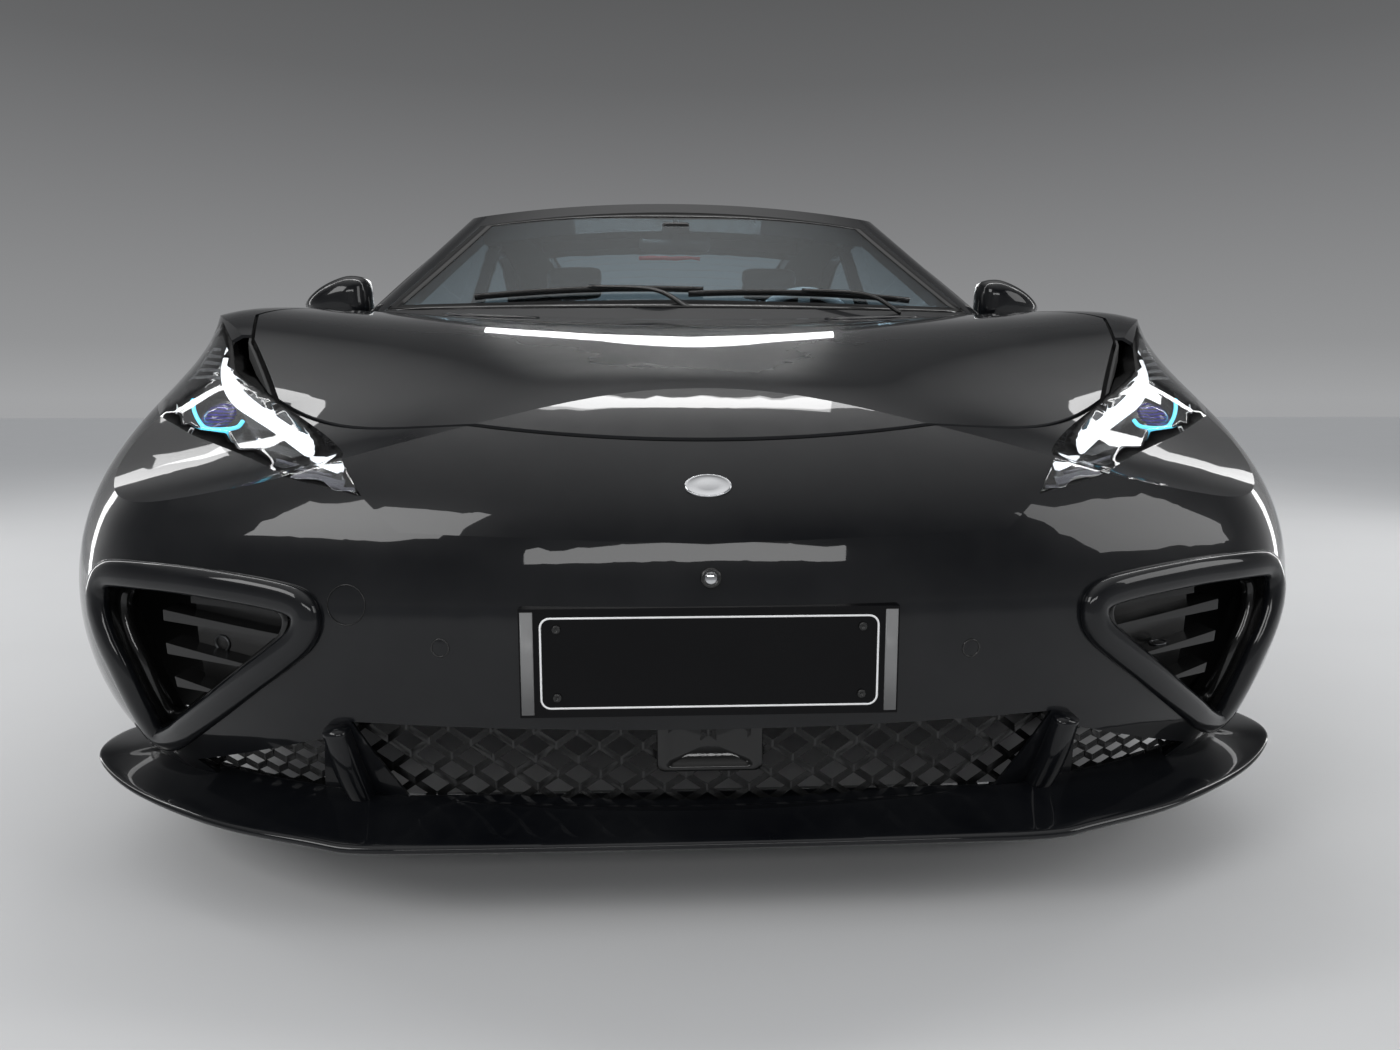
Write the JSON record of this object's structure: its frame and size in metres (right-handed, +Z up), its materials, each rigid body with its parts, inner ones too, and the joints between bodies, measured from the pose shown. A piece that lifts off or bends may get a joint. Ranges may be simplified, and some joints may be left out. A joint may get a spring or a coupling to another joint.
{
  "type": "two-door electric sports coupe",
  "caption": "Low two-door electric coupe with hinged doors, bonnet and boot lid, steered front wheels, a battery floor and a cabin with front and rear seats.",
  "frame": {"origin": "on the ground, midway along the overall length and on the centre line", "axes": "+Z up, -Y forwards, +X to the car's left"},
  "size_m": [2.1416, 4.7149, 1.4156],
  "materials": {
    "paint": "gloss",
    "glass": "clear",
    "lamp": "gloss",
    "tail_lamp": "gloss",
    "black_plastic": "satin",
    "liner": "matt",
    "steel": "satin",
    "cast": "cast",
    "pack": "satin",
    "iron": "machined",
    "alloy": "satin",
    "tyre": "matt",
    "trim": "soft",
    "seat": "matt",
    "wheel_trim": "satin",
    "plate": "satin"
  },
  "bodies": {
    "body": {"arch_liners": "liner", "battery_pack": "pack", "boot_tub": "liner", "cabin_frame": "paint", "centre_console": "trim", "corner_intakes": "black_plastic", "cowl_and_bulkhead": "steel", "dashboard": "trim", "diffuser": "black_plastic", "drive_unit": "cast", "floor_pan": "steel", "front_bumper": "paint", "front_fenders": "paint", "front_rails": "steel", "front_seats": "seat", "front_splitter": "black_plastic", "front_suspension": "cast", "front_tub": "liner", "headlamps": "lamp", "hinges": "steel", "lower_grille": "black_plastic", "nose_panel": "paint", "number_plate": "plate", "quarter_glass": "glass", "rear_bumper": "paint", "rear_quarters": "paint", "rear_rails": "steel", "rear_seat": "seat", "rear_shelf": "trim", "rear_suspension": "cast", "rear_uprights": "cast", "rear_window": "glass", "roof_panel": "paint", "sills": "black_plastic", "tail_lamp": "tail_lamp", "windscreen": "glass"},
    "bonnet": {"bonnet": "paint"},
    "boot_lid": {"boot_lid": "paint"},
    "door_left": {"door_left": "paint", "door_glass_left": "glass", "mirror_left": "paint"},
    "door_right": {"door_right": "paint", "door_glass_right": "glass", "mirror_right": "paint"},
    "steering_wheel": {"steering_wheel": "wheel_trim"},
    "knuckle_left": {"knuckle_left": "cast"},
    "knuckle_right": {"knuckle_right": "cast"},
    "wheel_front_left": {"tyre_front_left": "tyre", "rim_front_left": "alloy", "brake_disc_front_left": "iron"},
    "wheel_front_right": {"tyre_front_right": "tyre", "rim_front_right": "alloy", "brake_disc_front_right": "iron"},
    "wheel_rear_left": {"tyre_rear_left": "tyre", "rim_rear_left": "alloy", "brake_disc_rear_left": "iron"},
    "wheel_rear_right": {"tyre_rear_right": "tyre", "rim_rear_right": "alloy", "brake_disc_rear_right": "iron"}
  },
  "joints": [
    {"name": "steer_left", "type": "hinge", "parent": "body", "child": "knuckle_left", "pos_m": [0.82, -1.4875, 0.351], "axis": [0, 0, 1], "range_deg": [-30, 30]},
    {"name": "steer_right", "type": "hinge", "parent": "body", "child": "knuckle_right", "pos_m": [-0.82, -1.4875, 0.351], "axis": [0, 0, 1], "range_deg": [-30, 30]},
    {"name": "steering_wheel_turn", "type": "hinge", "parent": "body", "child": "steering_wheel", "pos_m": [0.385, -0.56, 0.862], "axis": [0, 0.9135, 0.4067], "range_deg": [-420, 420]},
    {"name": "door_left_hinge", "type": "hinge", "parent": "body", "child": "door_left", "pos_m": [0.945, -0.91, 0.565], "axis": [0, 0, -1], "range_deg": [0, 62]},
    {"name": "door_right_hinge", "type": "hinge", "parent": "body", "child": "door_right", "pos_m": [-0.945, -0.91, 0.565], "axis": [0, 0, 1], "range_deg": [0, 62]},
    {"name": "bonnet_hinge", "type": "hinge", "parent": "body", "child": "bonnet", "pos_m": [0, -1.024, 0.868], "axis": [-1, 0, 0], "range_deg": [0, 58]},
    {"name": "boot_hinge", "type": "hinge", "parent": "body", "child": "boot_lid", "pos_m": [0, 1.768, 0.978], "axis": [1, 0, 0], "range_deg": [0, 55]},
    {"name": "wheel_front_left_spin", "type": "hinge", "parent": "knuckle_left", "child": "wheel_front_left", "pos_m": [0.84, -1.4875, 0.351], "axis": [1, 0, 0], "continuous": true},
    {"name": "wheel_front_right_spin", "type": "hinge", "parent": "knuckle_right", "child": "wheel_front_right", "pos_m": [-0.84, -1.4875, 0.351], "axis": [1, 0, 0], "continuous": true},
    {"name": "wheel_rear_left_spin", "type": "hinge", "parent": "body", "child": "wheel_rear_left", "pos_m": [0.85, 1.2825, 0.351], "axis": [1, 0, 0], "continuous": true},
    {"name": "wheel_rear_right_spin", "type": "hinge", "parent": "body", "child": "wheel_rear_right", "pos_m": [-0.85, 1.2825, 0.351], "axis": [1, 0, 0], "continuous": true}
  ],
  "couplings": [
    {"joint": "steer_right", "follows": "steer_left", "ratio": 1},
    {"joint": "steering_wheel_turn", "follows": "steer_left", "ratio": 14}
  ]
}
